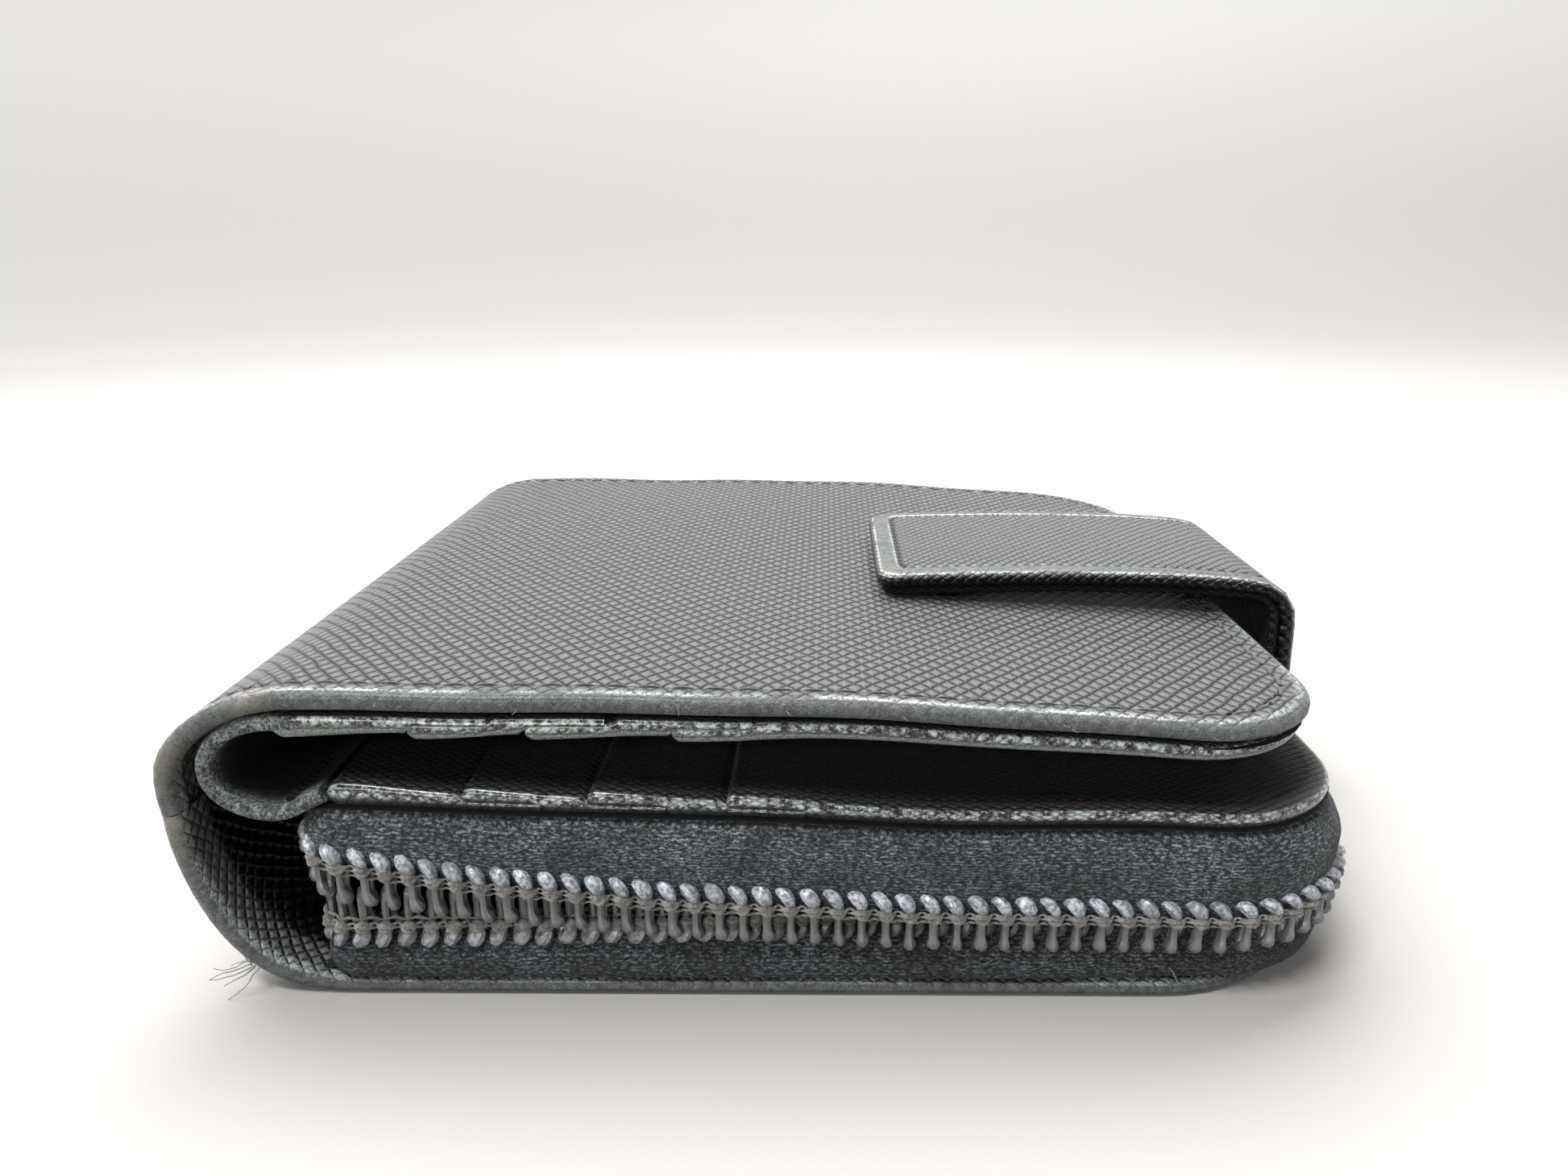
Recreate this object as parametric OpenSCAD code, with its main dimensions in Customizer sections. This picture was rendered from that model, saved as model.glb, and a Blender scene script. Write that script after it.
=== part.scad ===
// Compact leather wallet with three leaves. The back leaf and the middle leaf hold a coin
// compartment with a zip round three sides. The front leaf folds over the middle leaf at the
// spine, and a strap from the middle leaf closes over it with a snap.
// The wallet lies closed on its back cover. X runs from the spine to the opening edge, Y runs
// from the near side to the far side, and Z is up. The origin is on the underside.

/* [Leaves] */
// Depth of the leaves along the spine
depth = 96; // [90:1:110]
// Distance from the origin to the outside of the spine
spine_reach = 56; // [54:0.5:60]
// Distance from the origin to the opening edge of the middle and back leaves
leaf_reach = 54; // [50:0.5:58]
// How far the front cover stops short of the middle leaf
front_setback = 3.5; // [2:0.5:6]
// Height of the closed wallet without its strap
height = 30.5; // [30.5:0.5:33]
// Radius of the corners at the opening edge
corner_r = 14; // [8:1:18]
// Thickness of the outer leather
cover_t = 1.3; // [1.1:0.1:1.4]
// Thickness of the spine leather with its turned edge
spine_t = 1.9; // [1.4:0.1:2.2]
// Thickness of a stiffening board
board_t = 0.6; // [0.4:0.1:0.7]

/* [Card pockets] */
// Thickness of a stack of card pockets
pocket_t = 1.7; // [1.4:0.1:1.8]
// Distance from one pocket mouth to the next
pocket_step = 12; // [10:0.5:14]
// How far a pocket runs on beneath the next one
pocket_tail = 10; // [6:1:11]

/* [Zip] */
// Height of the line where the two rows of the zip meet
zip_z = 8; // [7.5:0.5:9]
// Height of one row of coil
coil_h = 4.6; // [4:0.1:4.8]
// Distance from one turn of the coil to the next
coil_pitch = 2.15; // [1.8:0.05:2.6]
// Radius of one turn of the coil
coil_r = 0.75; // [0.5:0.05:0.9]
// Thickness of the zip tape
tape_t = 0.7; // [0.4:0.1:0.9]

/* [Strap] */
// Width of the closing strap
strap_w = 31; // [24:1:36]
// Distance from the origin to the free end of the strap
strap_end = 9; // [5:1:14]
// Thickness of the strap
strap_t = 2.6; // [2.2:0.1:3]
// Clearance between the strap and the front cover
strap_lift = 0.9; // [0.8:0.1:1.2]

/* [Hidden] */
$fn = 64;

// Layers of the back leaf, from the floor up
back_board_z = cover_t;
coin_lining_z = back_board_z + board_t;
lining_t = 0.3;

// Layers of the middle leaf
middle_lining_z = 18.4;
middle_lining_t = 0.6;
middle_board_z = middle_lining_z + middle_lining_t;
middle_panel_z = middle_board_z + board_t;
panel_t = 0.4;
middle_pockets_z = middle_panel_z + panel_t;

// Layers of the front leaf, from the top down. The note slot is between its two linings
front_cover_z = height - cover_t;
front_board_z = front_cover_z - board_t;
note_lining_z = front_board_z - lining_t;
note_slot = 0.3;
front_panel_z = note_lining_z - note_slot - panel_t;

// The leaves meet the spine leather along this line
fold_x = -(spine_reach - 12);
board_inset = 3;
lining_inset = 1.4;
front_reach = leaf_reach - front_setback;

// Mouth of the first pocket of each stack
front_first_pocket = fold_x + 0.5;
middle_first_pocket = fold_x + 4.5;
lip_gap = 0.15;
tail_t = 0.4;
pocket_slope = 0.3;

// The zip is set in from the edge of the leaves
zip_inset = 0.5;
zip_start = fold_x + 2;
zip_end_gap = 6.5;
coil_row_gap = 0.2;
tape_overlap = 2;
tape_low_z = cover_t;
tape_high_z = middle_lining_z;

// Fold that joins the front pockets to the middle pockets
fold_t = 1.5;
fold_centre_x = fold_x - 2;
fold_low_z = middle_panel_z - 0.8;
fold_high_z = front_panel_z + panel_t;
fold_r = (fold_high_z - fold_low_z) / 2;

// Spine leather: a wide curve above, a slope, and a tighter curve below
upper_curve_r = spine_reach + fold_x;
lower_curve_r = 8;
upper_curve_z = height - upper_curve_r;

// Strap and its snap
strap_low_z = height + strap_lift;
strap_high_z = strap_low_z + strap_t;
strap_out_x = leaf_reach + 1 + strap_t;
strap_root_z = middle_board_z + board_t;
strap_curve_r = 5;
strap_skin_t = strap_t * 0.4;
snap_x = strap_end + 12;
stud_r = 1.8;
snap_play = 0.15;
stud_flange_r = 4;
socket_r = 5;
rivet_r = 1;

// Slider, at the spine end of the zip on the far side
slider_x = -32;
slider_l = 13;
slider_lip = 0.6;
slider_w = 2 * (coil_row_gap + coil_h + 0.1 + slider_lip);
plate_t = 0.8;
channel_play = 0.25;
post_l = 1.5;
post_h = 2.4;
bridge_gap = 1.4;
bridge_t = 0.8;
bridge_w = 1.8;
bridge_leg = 1.4;
bridge_in = 1.3;
pull_l = 24;
pull_w = 6;
pull_t = 0.9;
pull_bar_r = 0.5;
slider_face_y = depth / 2 - zip_inset + 2 * coil_r + channel_play;
pull_axis_y = slider_face_y + plate_t + bridge_gap / 2;

// Plan of a leaf: square at the fold, with round corners at the opening edge
module leaf_plan(inset, reach) {
  r = corner_r - inset;
  x1 = reach - inset;
  y1 = depth / 2 - inset;
  x0 = fold_x + (inset > 0 ? min(inset, 1) : 0);
  union() {
    translate([x0, -y1]) square([x1 - r - x0, 2 * y1]);
    translate([x0, -y1 + r]) square([x1 - x0, 2 * (y1 - r)]);
    for (side = [-1, 1]) translate([x1 - r, side * (y1 - r)]) circle(r);
  }
}

module leaf_layer(z, t, inset, reach) {
  translate([0, 0, z]) linear_extrude(t) leaf_plan(inset, reach);
}

// Band that follows the near side, the opening edge and the far side of a leaf
module zip_band(z, h, inset, t) {
  translate([0, 0, z]) linear_extrude(h) intersection() {
    difference() {
      leaf_plan(inset, leaf_reach);
      leaf_plan(inset + t, leaf_reach);
    }
    translate([zip_start, -depth]) square([2 * depth, 2 * depth]);
  }
}

// Places its children along the zip, with their own X along it and their own -Y outwards
module along_zip(count, shift) {
  r = corner_r - zip_inset;
  side_l = leaf_reach - corner_r - zip_start;
  end_l = depth - 2 * corner_r;
  arc_l = r * PI / 2;
  edge_y = depth / 2 - zip_inset;
  for (i = [0 : count - 1]) {
    s = zip_end_gap + (i + shift) * coil_pitch;
    a = s - side_l;
    b = a - arc_l;
    c = b - end_l;
    d = c - arc_l;
    if (a < 0)
      translate([zip_start + s, -edge_y, 0]) children();
    else if (b < 0)
      translate([leaf_reach - corner_r, corner_r - depth / 2, 0])
        rotate(a / arc_l * 90) translate([0, -r, 0]) children();
    else if (c < 0)
      translate([leaf_reach - zip_inset, corner_r - depth / 2 + b, 0]) rotate(90) children();
    else if (d < 0)
      translate([leaf_reach - corner_r, depth / 2 - corner_r, 0])
        rotate(90 + c / arc_l * 90) translate([0, -r, 0]) children();
    else
      translate([leaf_reach - corner_r - d, edge_y, 0]) rotate(180) children();
  }
}

zip_l = 2 * (leaf_reach - corner_r - zip_start) + depth - 2 * corner_r
        + PI * (corner_r - zip_inset);
coil_turns = floor((zip_l - 2 * zip_end_gap) / coil_pitch);

module coil_row(z, shift) {
  along_zip(coil_turns, shift)
    translate([0, -coil_r, z]) cylinder(h = coil_h, r = coil_r, $fn = 16);
}

// One crimped stop beyond each end of the coil
module zip_stops(z) {
  stop_l = 1.6;
  stop_out = 1.2;
  for (side = [0, 1]) mirror([0, side, 0])
    translate([zip_start + 1.4, depth / 2 - zip_inset, z]) cube([stop_l, stop_out, coil_h]);
}

// Card pocket k of a stack that is built upwards from z = 0. Its mouth is at its left end, and
// its thin tail runs beneath the next pocket
module pocket(k, start, reach) {
  x0 = start + (k - 1) * pocket_step;
  x1 = x0 + pocket_step;
  last = k == 4;
  under = k == 1 ? 0 : tail_t + 0.05;
  lap = x0 + pocket_tail + lip_gap;
  top = pocket_t;
  profile = last
    ? [[x0, under], [lap, under], [lap, 0], [reach, 0], [reach, top - pocket_slope],
       [x1, top - pocket_slope], [x0, top]]
    : concat(
        k == 1 ? [[x0, 0]] : [[x0, under], [lap, under], [lap, 0]],
        [[x1 + pocket_tail, 0], [x1 + pocket_tail, tail_t], [x1 - lip_gap, tail_t],
         [x1 - lip_gap, top - pocket_slope], [x0, top]]);
  intersection() {
    translate([0, depth / 2, 0]) rotate([90, 0, 0]) linear_extrude(depth) polygon(profile);
    linear_extrude(pocket_t) leaf_plan(0.3, reach);
  }
}

// The strap's section: flat over the cover, one curve, and down past the opening edge
module strap_section(out, thick, start) {
  high = strap_high_z - out;
  outer_x = strap_out_x - out;
  r = strap_curve_r - out;
  union() {
    translate([start, high - thick]) square([outer_x - r - start, thick]);
    translate([outer_x - thick, strap_root_z]) square([thick, high - r - strap_root_z]);
    translate([outer_x - r, high - r]) intersection() {
      difference() {
        circle(r);
        circle(r - thick);
      }
      square(r + 1);
    }
  }
}

module strap_layer(out, thick, start, width) {
  translate([0, width / 2, 0]) rotate([90, 0, 0]) linear_extrude(width)
    strap_section(out, thick, start);
}

// Curved length of leather along the spine, as a quarter ring about a line along Y
module quarter_ring(x, z, r, t, upper) {
  translate([x, depth / 2, z]) rotate([90, 0, 0]) linear_extrude(depth) intersection() {
    difference() {
      circle(r);
      circle(r - t);
    }
    translate([-2 * r, upper ? 0 : -2 * r]) square(2 * r);
  }
}

module back_cover() color("#33363a") leaf_layer(0, cover_t, 0, leaf_reach);

module back_board() color("#8d8471")
  leaf_layer(back_board_z, board_t, board_inset, leaf_reach);

module coin_lining() color("#25272b")
  leaf_layer(coin_lining_z, lining_t, lining_inset, leaf_reach);

module lower_zip_tape() color("#30363d")
  zip_band(tape_low_z, zip_z - coil_row_gap - coil_h + tape_overlap - tape_low_z, zip_inset, tape_t);

module lower_zip_coil() color("#6d6f70") coil_row(zip_z - coil_row_gap - coil_h, 0);

module lower_zip_stops() color("#85888a") zip_stops(zip_z - coil_row_gap - coil_h);

module lower_spine() color("#3f4447") {
  slope_x = fold_x - lower_curve_r;
  union() {
    quarter_ring(fold_x, lower_curve_r, lower_curve_r, spine_t, false);
    translate([0, depth / 2, 0]) rotate([90, 0, 0]) linear_extrude(depth)
      polygon([[slope_x, lower_curve_r], [slope_x + spine_t, lower_curve_r],
               [-spine_reach + spine_t, upper_curve_z], [-spine_reach, upper_curve_z]]);
  }
}

module coin_gusset() color("#25272b")
  translate([fold_x + 1, -depth / 2 + 3, coin_lining_z + lining_t])
    cube([0.5, depth - 6, middle_lining_z - coin_lining_z - lining_t]);

module middle_lining() color("#25272b")
  leaf_layer(middle_lining_z, middle_lining_t, 0, leaf_reach);

module middle_board() color("#8d8471") difference() {
  leaf_layer(middle_board_z, board_t, board_inset, leaf_reach);
  translate([leaf_reach - 10.2, -strap_w / 2 - 0.2, middle_board_z - 1])
    cube([20, strap_w + 0.4, 3]);
}

module middle_panel() color("#33363a")
  leaf_layer(middle_panel_z, panel_t, 0, leaf_reach);

module middle_pocket(k) color("#2c2f33")
  translate([0, 0, middle_pockets_z]) pocket(k, middle_first_pocket, leaf_reach - 0.5);

module upper_zip_tape() color("#30363d")
  zip_band(zip_z + coil_row_gap + coil_h - tape_overlap,
           tape_high_z - zip_z - coil_row_gap - coil_h + tape_overlap, zip_inset, tape_t);

module upper_zip_coil() color("#6d6f70") coil_row(zip_z + coil_row_gap, 0.5);

module upper_zip_stops() color("#85888a") zip_stops(zip_z + coil_row_gap);

module strap_anchor() color("#33363a")
  translate([leaf_reach - 10, -strap_w / 2, middle_board_z])
    cube([strap_out_x - leaf_reach + 10, strap_w, board_t]);

module inner_fold() color("#4a5350") {
  mid_z = (fold_high_z + fold_low_z) / 2;
  union() {
    quarter_ring(fold_centre_x, mid_z, fold_r, fold_t, true);
    quarter_ring(fold_centre_x, mid_z, fold_r, fold_t, false);
    for (z = [fold_low_z, fold_high_z - fold_t])
      translate([fold_centre_x, -depth / 2, z]) cube([fold_x - fold_centre_x, depth, fold_t]);
  }
}

module front_cover() color("#33363a") difference() {
  leaf_layer(front_cover_z, cover_t, 0, front_reach);
  translate([snap_x, 0, front_cover_z - 1]) cylinder(h = cover_t + 2, r = rivet_r + 0.05);
}

module front_board() color("#8d8471") difference() {
  leaf_layer(front_board_z, board_t, board_inset, front_reach);
  translate([snap_x, 0, front_board_z - 1]) cylinder(h = board_t + 2, r = stud_flange_r + 0.2);
}

module note_lining() color("#25272b")
  leaf_layer(note_lining_z, lining_t, lining_inset, front_reach);

module front_panel() color("#33363a")
  leaf_layer(front_panel_z, panel_t, 0, front_reach);

module front_pocket(k) color("#2c2f33")
  translate([0, 0, front_panel_z]) mirror([0, 0, 1])
    pocket(k, front_first_pocket, front_reach - 0.5);

module upper_spine() color("#3f4447")
  quarter_ring(fold_x, upper_curve_z, upper_curve_r, spine_t, true);

module snap_stud() color("#a7a9a8") translate([snap_x, 0, height]) difference() {
  union() {
    cylinder(h = 0.4, r = stud_flange_r);
    cylinder(h = 1.6, r = stud_r);
  }
  translate([0, 0, -1]) cylinder(h = 2, r = rivet_r + 0.05);
}

module stud_rivet() color("#a7a9a8") translate([snap_x, 0, front_board_z]) union() {
  cylinder(h = board_t, r = stud_flange_r);
  cylinder(h = height + 0.9 - front_board_z, r = rivet_r);
}

module strap_face() color("#3a3e42") strap_layer(0, strap_skin_t, strap_end, strap_w);

module strap_core() color("#8d8471") difference() {
  strap_layer(strap_skin_t, strap_t - 2 * strap_skin_t, strap_end + 1.5, strap_w - 3);
  translate([snap_x, 0, strap_low_z]) cylinder(h = strap_t, r = socket_r + 0.1);
}

module strap_lining() color("#2c2f33") difference() {
  strap_layer(strap_t - strap_skin_t, strap_skin_t, strap_end, strap_w);
  translate([snap_x, 0, strap_low_z - 1]) cylinder(h = strap_t, r = stud_r + 1);
}

// The socket hangs below the lining, and its neck passes up through it to the cap
module snap_socket() color("#a7a9a8") translate([snap_x, 0, 0]) difference() {
  union() {
    translate([0, 0, height + 0.45]) cylinder(h = strap_lift - 0.45, r = socket_r);
    translate([0, 0, height + 0.45])
      cylinder(h = strap_low_z + strap_skin_t - height - 0.45, r = stud_r + 0.95);
  }
  translate([0, 0, height]) cylinder(h = strap_t + 2, r = stud_r + snap_play);
}

module snap_cap() color("#a7a9a8")
  translate([snap_x, 0, strap_low_z + strap_skin_t])
    cylinder(h = strap_t - 2 * strap_skin_t, r = socket_r);

// Two plates joined by a post between the rows, with edges turned in towards the tape and a
// bridge for the pull
module zip_slider() color("#8f9294") {
  tape_y = depth / 2 - zip_inset;
  in_y = tape_y - tape_t - channel_play;
  lip_y = tape_y + channel_play;
  top_y = slider_face_y + plate_t;
  translate([slider_x, 0, zip_z]) union() {
    for (y = [in_y - plate_t, slider_face_y])
      translate([-slider_l / 2, y, -slider_w / 2]) cube([slider_l, plate_t, slider_w]);
    for (side = [0, 1]) mirror([0, 0, side])
      translate([-slider_l / 2, lip_y, slider_w / 2 - slider_lip])
        cube([slider_l, slider_face_y - lip_y, slider_lip]);
    translate([-slider_l / 2, in_y, -post_h / 2]) cube([post_l, slider_face_y - in_y, post_h]);
    for (side = [0, 1]) mirror([side, 0, 0])
      translate([slider_l / 2 - bridge_in - bridge_leg, top_y, -bridge_w / 2])
        cube([bridge_leg, bridge_gap + bridge_t, bridge_w]);
    translate([bridge_in - slider_l / 2, top_y + bridge_gap, -bridge_w / 2])
      cube([slider_l - 2 * bridge_in, bridge_t, bridge_w]);
  }
}

// Flat tab whose end bar passes through the slider's bridge, with an eye round the bridge's leg
module zip_pull() color("#8f9294") translate([slider_x, pull_axis_y, zip_z]) {
  eye_l = 6;
  rail = 1.1;
  union() {
    translate([0, -pull_t / 2, 0]) rotate([-90, 0, 0]) linear_extrude(pull_t) difference() {
      union() {
        translate([0, -pull_w / 2]) square([pull_l - pull_w / 2, pull_w]);
        translate([pull_l - pull_w / 2, 0]) circle(pull_w / 2);
      }
      translate([-1, rail - pull_w / 2]) square([eye_l + 1, pull_w - 2 * rail]);
    }
    translate([0, 0, -pull_w / 2]) cylinder(h = pull_w, r = pull_bar_r);
  }
}

back_cover();
back_board();
coin_lining();
lower_zip_tape();
lower_zip_coil();
lower_zip_stops();
lower_spine();
coin_gusset();
middle_lining();
middle_board();
middle_panel();
middle_pocket(1);  // middle_pocket_1
middle_pocket(2);  // middle_pocket_2
middle_pocket(3);  // middle_pocket_3
middle_pocket(4);  // middle_pocket_4
upper_zip_tape();
upper_zip_coil();
upper_zip_stops();
strap_anchor();
inner_fold();
front_cover();
front_board();
note_lining();
front_panel();
front_pocket(1);  // front_pocket_1
front_pocket(2);  // front_pocket_2
front_pocket(3);  // front_pocket_3
front_pocket(4);  // front_pocket_4
upper_spine();
snap_stud();
stud_rivet();
strap_face();
strap_core();
strap_lining();
snap_socket();
snap_cap();
zip_slider();
zip_pull();
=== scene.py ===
"""A compact leather wallet: three leaves, a zip-around coin compartment and a closing strap.

Shapes are worked out in millimetres in the CAD frame and turned into metres when a mesh is made.
X runs from the spine to the opening edge, Y from the near side to the far side, and Z is up.
"""

import math
import random

import bmesh
import bpy
import numpy as np
from mathutils import Matrix, Vector


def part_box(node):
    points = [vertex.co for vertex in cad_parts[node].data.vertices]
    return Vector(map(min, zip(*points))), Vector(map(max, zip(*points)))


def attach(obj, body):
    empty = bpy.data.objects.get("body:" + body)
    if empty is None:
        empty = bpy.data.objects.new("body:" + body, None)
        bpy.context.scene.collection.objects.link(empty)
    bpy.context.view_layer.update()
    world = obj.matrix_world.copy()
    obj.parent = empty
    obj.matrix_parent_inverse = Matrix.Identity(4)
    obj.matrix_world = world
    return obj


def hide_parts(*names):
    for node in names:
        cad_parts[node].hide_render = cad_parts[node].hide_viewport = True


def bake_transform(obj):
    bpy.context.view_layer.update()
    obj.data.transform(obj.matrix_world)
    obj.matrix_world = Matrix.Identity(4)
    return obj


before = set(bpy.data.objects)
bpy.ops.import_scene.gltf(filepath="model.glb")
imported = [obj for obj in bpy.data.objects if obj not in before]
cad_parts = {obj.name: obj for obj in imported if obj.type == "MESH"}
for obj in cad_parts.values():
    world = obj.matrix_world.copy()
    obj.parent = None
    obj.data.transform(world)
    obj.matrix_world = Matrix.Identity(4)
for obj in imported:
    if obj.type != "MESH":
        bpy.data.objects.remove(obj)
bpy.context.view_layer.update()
rng = random.Random(7)

MM = 0.001


def corners_mm(node):
    """Lowest and highest corner of a CAD node, in millimetres."""
    low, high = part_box(node)
    return np.array(low) / MM, np.array(high) / MM


# -------- sizes taken from the CAD frame
COVER_LOW, COVER_HIGH = corners_mm("front_cover")
SPINE_LOW = corners_mm("upper_spine")[0]
STRAP_LOW, STRAP_HIGH = corners_mm("strap_face")
STUD_LOW, STUD_HIGH = corners_mm("snap_stud")

HALF = COVER_HIGH[1]
TOP = COVER_HIGH[2]
FOLD_X = COVER_LOW[0]
FRONT_X = COVER_HIGH[0]
LEAF_X = corners_mm("back_cover")[1][0]
BACK_X = LEAF_X - 1.8
SPINE_X = SPINE_LOW[0]
SPINE_Z = SPINE_LOW[2]
STRAP_HALF = STRAP_HIGH[1]
SNAP_X = (STUD_LOW[0] + STUD_HIGH[0]) / 2

# -------- sizes of the soft pieces
COVER_T = 1.3
CORNER = 14.0
FOLD_T = 1.5

# The leaves settle towards the opening edge, where less lies between them
DROOP = 1.75e-5
DROOP_FROM = -40.0


def settle(points):
    """The slow waves and the droop that every soft piece shares, so that layers stay nested."""
    p = np.array(points, float)
    x, y, z = p[:, 0], p[:, 1], p[:, 2]
    run = np.clip(x - DROOP_FROM, 0, None)
    lifted = z / TOP
    wave = 0.16 * np.sin(0.115 * x + 0.6) + 0.09 * np.sin(0.27 * x + 0.05 * y + 2.0)
    edge = (np.abs(y) / HALF) ** 6
    dent = 0.9 * np.exp(-((x - 18) / 24) ** 2 - (y / 27) ** 2) * smooth((z - 22) / 4)
    sag = 1.15 * np.exp(-((x - 12) / 17) ** 2) + 0.45 * np.exp(-((x + 16) / 13) ** 2)
    sag *= smooth((z - 13) / 5) * smooth((26 - z) / 3)
    p[:, 2] = z * (1 - DROOP * run**2) + wave * lifted * edge - dent - sag
    p[:, 1] = y + 0.18 * np.sin(0.09 * x + 0.21 * z) * np.sign(y) * edge * np.clip(lifted, 0, 1)
    return p


def smooth(t):
    t = np.clip(t, 0, 1)
    return t * t * (3 - 2 * t)


def settle_strap(points):
    """The strap is stiffer than the leaf below it: its free end lies low and its bend stays up."""
    p = np.array(points, float)
    x, z = p[:, 0], p[:, 2]
    run = np.clip(x - DROOP_FROM, 0, None)
    rise = np.interp(x, (8, 20, 31, 44, 50, 60), (-1.35, -0.3, 0.55, 1.3, 1.45, 1.3))
    p[:, 2] = z * (1 - DROOP * run**2) + rise * smooth((z - 21) / 9)
    return p


# -------- materials
class Shader:
    """A node material with one Principled shader, and short calls that add nodes to it."""

    def __init__(self, name, **settings):
        self.material = bpy.data.materials.new(name)
        self.material.use_nodes = True
        self.tree = self.material.node_tree
        self.shader = self.tree.nodes["Principled BSDF"]
        for socket, value in settings.items():
            self.shader.inputs[socket.replace("_", " ")].default_value = value
        scaled = self.node("ShaderNodeVectorMath", self.node("ShaderNodeTexCoord").outputs["Object"],
                           operation="SCALE")
        scaled.inputs["Scale"].default_value = 1 / MM
        self.place = scaled.outputs[0]  # position on the resting object, in millimetres

    def node(self, kind, *values, **settings):
        """A new node. The values go to its inputs, in order."""
        made = self.tree.nodes.new(kind)
        for key, value in settings.items():
            setattr(made, key, value)
        for socket, value in zip(made.inputs, values):
            self.feed(socket, value)
        return made

    def feed(self, socket, value):
        if isinstance(value, bpy.types.NodeSocket):
            self.tree.links.new(value, socket)
        else:
            socket.default_value = value

    def math(self, operation, *values, clamp=False):
        return self.node("ShaderNodeMath", *values, operation=operation, use_clamp=clamp).outputs[0]

    def times(self, a, b, clamp=False):
        return self.math("MULTIPLY", a, b, clamp=clamp)

    def madd(self, a, b, c, clamp=False):
        """a times b, plus c."""
        return self.math("MULTIPLY_ADD", a, b, c, clamp=clamp)

    def vector(self, x, y):
        return self.node("ShaderNodeCombineXYZ", x, y).outputs[0]

    def attribute(self, name, output="Fac"):
        return self.node("ShaderNodeAttribute", attribute_name=name).outputs[output]

    def flat(self):
        """Distances along and across the unrolled piece, in millimetres."""
        split = self.node("ShaderNodeSeparateXYZ", self.attribute("flat", "Vector"))
        return split.outputs[0], split.outputs[1]

    def noise(self, scale, detail=2.0, rough=0.5, at=None):
        made = self.node("ShaderNodeTexNoise")
        values = {"Vector": self.place if at is None else at, "Scale": scale, "Detail": detail,
                  "Roughness": rough}
        for socket, value in values.items():
            self.feed(made.inputs[socket], value)
        return made.outputs["Fac"]

    def band(self, value, low, high, to_low=0.0, to_high=1.0):
        """A smooth step from to_low to to_high while value goes from low to high."""
        return self.node("ShaderNodeMapRange", value, low, high, to_low, to_high,
                         interpolation_type="SMOOTHSTEP").outputs[0]

    def mix(self, factor, first, second):
        made = self.node("ShaderNodeMix", data_type="RGBA")
        self.feed(made.inputs[0], factor)
        self.feed(made.inputs[6], first)
        self.feed(made.inputs[7], second)
        return made.outputs[2]

    def dome(self, along, across, weights, power):
        """Puffed cells: 1 on a cell and 0 in the diagonal creases between cells."""
        creases = []
        for sign, weight in zip((1.0, -1.0), weights):
            lane = self.madd(along, sign, across)
            saw = self.math("ABSOLUTE", self.math("SUBTRACT", self.math("FRACT", lane), 0.5))
            creases.append(self.times(saw, 2.0 * weight))
        return self.math("SUBTRACT", 1.0, self.math("POWER", self.math("MAXIMUM", *creases), power))

    def bump(self, height, distance, strength=1.0):
        made = self.node("ShaderNodeBump")
        made.inputs["Strength"].default_value = strength
        made.inputs["Distance"].default_value = distance * MM
        self.feed(made.inputs["Height"], height)
        return made.outputs[0]

    def drive(self, name, value):
        self.feed(self.shader.inputs[name], value)

    def finish(self, colour, roughness, normal):
        """Without a roughness the shader keeps the one that it was made with."""
        for name, value in (("Base Color", colour), ("Roughness", roughness), ("Normal", normal)):
            if value is not None:
                self.drive(name, value)
        return self.material


def grey(level, tint=(1.0, 1.0, 1.0)):
    """A linear colour from an sRGB level of 0 to 255 and a tint."""
    value = ((level / 255 + 0.055) / 1.055) ** 2.4
    return (value * tint[0], value * tint[1], value * tint[2], 1.0)


GREEN = (0.93, 1.03, 0.97)
BLUE = (0.9, 1.0, 1.08)
BEIGE = (1.08, 1.0, 0.86)


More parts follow.
